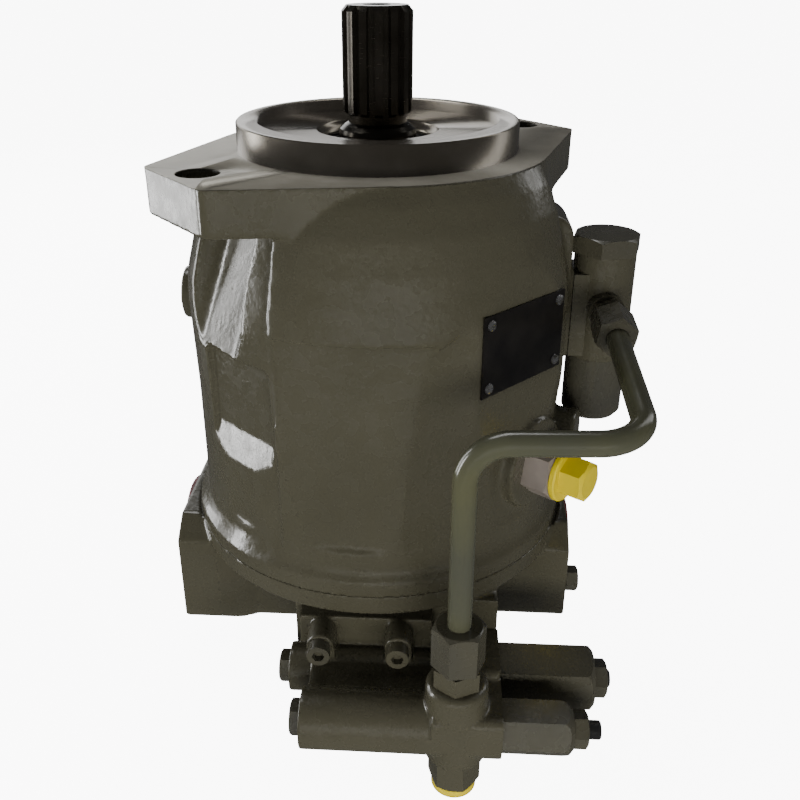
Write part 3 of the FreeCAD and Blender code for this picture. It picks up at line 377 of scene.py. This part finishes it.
def valve_freedom(points):
    """The same for the control valve body: end faces and tower are held."""
    x, y, z = points.T
    ends = ramp(x, 60.2, 58.5) * ramp(y, -82.6, -84.5)
    tower = ramp(np.hypot(x - TOWER_X, y - TOWER_Y), 8.0, 10.0)
    return ends * np.maximum(tower, ramp(np.abs(z - VALVE_MID_Z), 19.0, 17.5))


def voxelled(mesh, voxel):
    """A closed voxel copy of a mesh."""
    stand = bpy.data.objects.new("voxel_stand", mesh)
    bpy.context.collection.objects.link(stand)
    mod = stand.modifiers.new("voxels", "REMESH")
    mod.mode = "VOXEL"
    mod.voxel_size = voxel
    graph = bpy.context.evaluated_depsgraph_get()
    out = bpy.data.meshes.new_from_object(stand.evaluated_get(graph))
    bpy.data.objects.remove(stand)
    return out


def relaxed(mesh, free, rounds):
    """Even out the voxel mesh where free is 1 and leave it where free is 0."""
    count = len(mesh.vertices)
    points = np.empty(count * 3)
    mesh.vertices.foreach_get("co", points)
    points = points.reshape(-1, 3)
    ends = np.empty(len(mesh.edges) * 2, dtype=np.int32)
    mesh.edges.foreach_get("vertices", ends)
    a, b = ends.reshape(-1, 2).T
    degree = np.maximum(np.bincount(ends, minlength=count), 1)[:, None]
    share = 0.5 * free(points * MM)[:, None]
    for _ in range(rounds):
        near = [np.bincount(a, points[b, i], count) + np.bincount(b, points[a, i], count)
                for i in range(3)]
        points = points + share * (np.stack(near, 1) / degree - points)
    mesh.vertices.foreach_set("co", points.ravel())
    mesh.update()


def open_bore(mesh, place, radius, low, high):
    """Put the wall of an upright bore on one radius, all in millimetres."""
    for vert in mesh.vertices:
        x, y, z = vert.co * MM
        out = math.hypot(x - place[0], y - place[1])
        if low < z < high and 0.8 * radius < out < radius + 0.5:
            vert.co.x = (place[0] + (x - place[0]) * radius / out) / MM
            vert.co.y = (place[1] + (y - place[1]) * radius / out) / MM


def cut_at(bm, height, keep_above):
    """Keep the part of a mesh above or below one height, cut off square."""
    geom = bm.verts[:] + bm.edges[:] + bm.faces[:]
    bmesh.ops.bisect_plane(bm, geom=geom, plane_co=(0, 0, height), plane_no=(0, 0, 1),
                           clear_inner=keep_above, clear_outer=not keep_above)


def casting(name, look, voxel, rounds, free, face_height=None, bore=None):
    """Show a CAD casting with its corners rounded.

    voxel is in metres; above face_height the CAD faces stay; bore is put back on its radius.
    """
    node = NODES[name]
    bm = bmesh.new()
    bm.from_mesh(node.data)
    bm.transform(node.matrix_world)
    bmesh.ops.remove_doubles(bm, verts=bm.verts[:], dist=1e-6)
    mesh = bpy.data.meshes.new(name + "_cast")
    bm.to_mesh(mesh)
    shell = voxelled(mesh, voxel)
    relaxed(shell, free, rounds)
    if bore is not None:
        open_bore(shell, *bore)
    if face_height is None:
        bm.clear()
        bm.from_mesh(shell)
    else:
        skin = bmesh.new()
        skin.from_mesh(shell)
        cut_at(bm, face_height, True)
        cut_at(skin, face_height, False)
        skin.to_mesh(shell)
        skin.free()
        bm.from_mesh(shell)
    for face in bm.faces:
        face.smooth = True
        face.material_index = 0
    bm.to_mesh(mesh)
    bm.free()
    mesh.set_sharp_from_angle(angle=math.radians(SHARP_ANGLE))
    mesh.materials.append(look)
    piece = bpy.data.objects.new(name + "_cast", mesh)
    bpy.context.collection.objects.link(piece)
    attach(piece, "case")
    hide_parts(name)


def add_castings():
    casting("housing", HOUSING, 0.0009, 8, housing_freedom, FACE_CUT, STROKER_BORE)
    casting("port_plate", PAINT, 0.0008, 7, plate_freedom)
    casting("valve_body", PAINT, 0.0005, 10, valve_freedom)


# Small machined nodes whose corners are broken: bevel width in metres.
BROKEN_EDGES = {
    "pipe_nuts": 0.0004, "hex_adapters": 0.0004, "lock_nuts": 0.0003, "spring_housings": 0.0007,
    "blanking_plugs": 0.0004, "valve_screws": 0.0003, "port_plate_screws": 0.0005,
    "power_valve_caps": 0.0005, "power_valve_body": 0.0004, "yellow_caps": 0.0003,
    "port_covers": 0.0004, "nameplate": 0.00012,
}


def break_edges():
    for name, width in BROKEN_EDGES.items():
        mod = NODES[name].modifiers.new("broken_edge", "BEVEL")
        mod.width = width
        mod.segments = 2
        mod.limit_method = "ANGLE"
        mod.angle_limit = math.radians(BEVEL_ANGLE)
        mod.use_clamp_overlap = True


# ---------------------------------------------------------------- stage, light and camera

FLOOR_HALF = 60.0
FLOOR_GAP = 0.0005
FLOOR_GLOW = 9.0
WORLD_GLOW = 0.07


def add_floor():
    low = CAD_BOX[0][2] - FLOOR_GAP
    mesh = bpy.data.meshes.new("floor")
    corners = ((-1, -1), (1, -1), (1, 1), (-1, 1))
    mesh.from_pydata([(a * FLOOR_HALF, b * FLOOR_HALF, low) for a, b in corners],
                     [], [(0, 1, 2, 3)])
    floor = bpy.data.objects.new("floor", mesh)
    bpy.context.collection.objects.link(floor)
    m = Mat("floor_pale")
    m.set(Base_Color=rgba(0.9, 0.9, 0.9), Roughness=0.9, Specular_IOR_Level=0.0)
    m.set(Emission_Color=rgba(1.0, 1.0, 1.0), Emission_Strength=FLOOR_GLOW)
    mesh.materials.append(m.mat)
    floor.visible_diffuse = False
    floor.visible_glossy = False


def add_area(name, place, target, size, power, shine=True):
    """A soft rectangular lamp; with shine off it lights the paint but isn't mirrored in it."""
    data = bpy.data.lights.new(name, "AREA")
    data.shape = "RECTANGLE"
    data.size, data.size_y = size
    data.energy = power
    lamp = bpy.data.objects.new(name, data)
    lamp.location = place
    lamp.rotation_euler = (Vector(target) - Vector(place)).to_track_quat("-Z", "Y").to_euler()
    lamp.visible_camera = False
    lamp.visible_glossy = shine
    bpy.context.collection.objects.link(lamp)


def add_light():
    world = bpy.data.worlds.new("studio")
    bpy.context.scene.world = world
    world.use_nodes = True
    back = world.node_tree.nodes["Background"]
    back.inputs["Color"].default_value = rgba(1.0, 1.0, 1.0)
    back.inputs["Strength"].default_value = WORLD_GLOW
    add_area("key_left", (-1.0, 0.36, -0.03), (0, 0, -0.1), (0.3, 0.8), 5.5)
    add_area("strip_left", (-1.0, -0.12, -0.1), (0, 0, -0.12), (0.14, 0.6), 6.0)
    add_area("back_soft", (-0.5, 1.2, 0.32), (0, 0, -0.05), (1.4, 0.45), 4.0)
    add_area("top_soft", (-0.25, 0.55, 1.1), (0, 0, -0.05), (0.9, 0.5), 8.0)
    add_area("front_fill", (0.1, -0.85, -0.14), (0, 0, -0.15), (0.9, 0.2), 8.5, shine=False)
    bounce = (0.05, -0.35, CAD_BOX[0][2] + 0.001)
    add_area("floor_bounce", bounce, (0.05, -0.35, 1.0), (1.8, 0.9), 5.0, shine=False)
    add_area("rim_right", (0.9, 0.5, 0.5), (0, 0, -0.1), (0.3, 0.8), 1.5)


def add_camera():
    data = bpy.data.cameras.new("camera")
    data.lens = CAM_LENS
    data.shift_x, data.shift_y = CAM_SHIFT
    camera = bpy.data.objects.new("camera", data)
    camera.location = CAM_PLACE
    camera.rotation_euler = (math.radians(90 - CAM_PITCH), 0, math.radians(CAM_YAW))
    bpy.context.collection.objects.link(camera)
    bpy.context.scene.camera = camera


paint_nodes()
break_edges()
add_castings()
add_floor()
add_light()
add_camera()
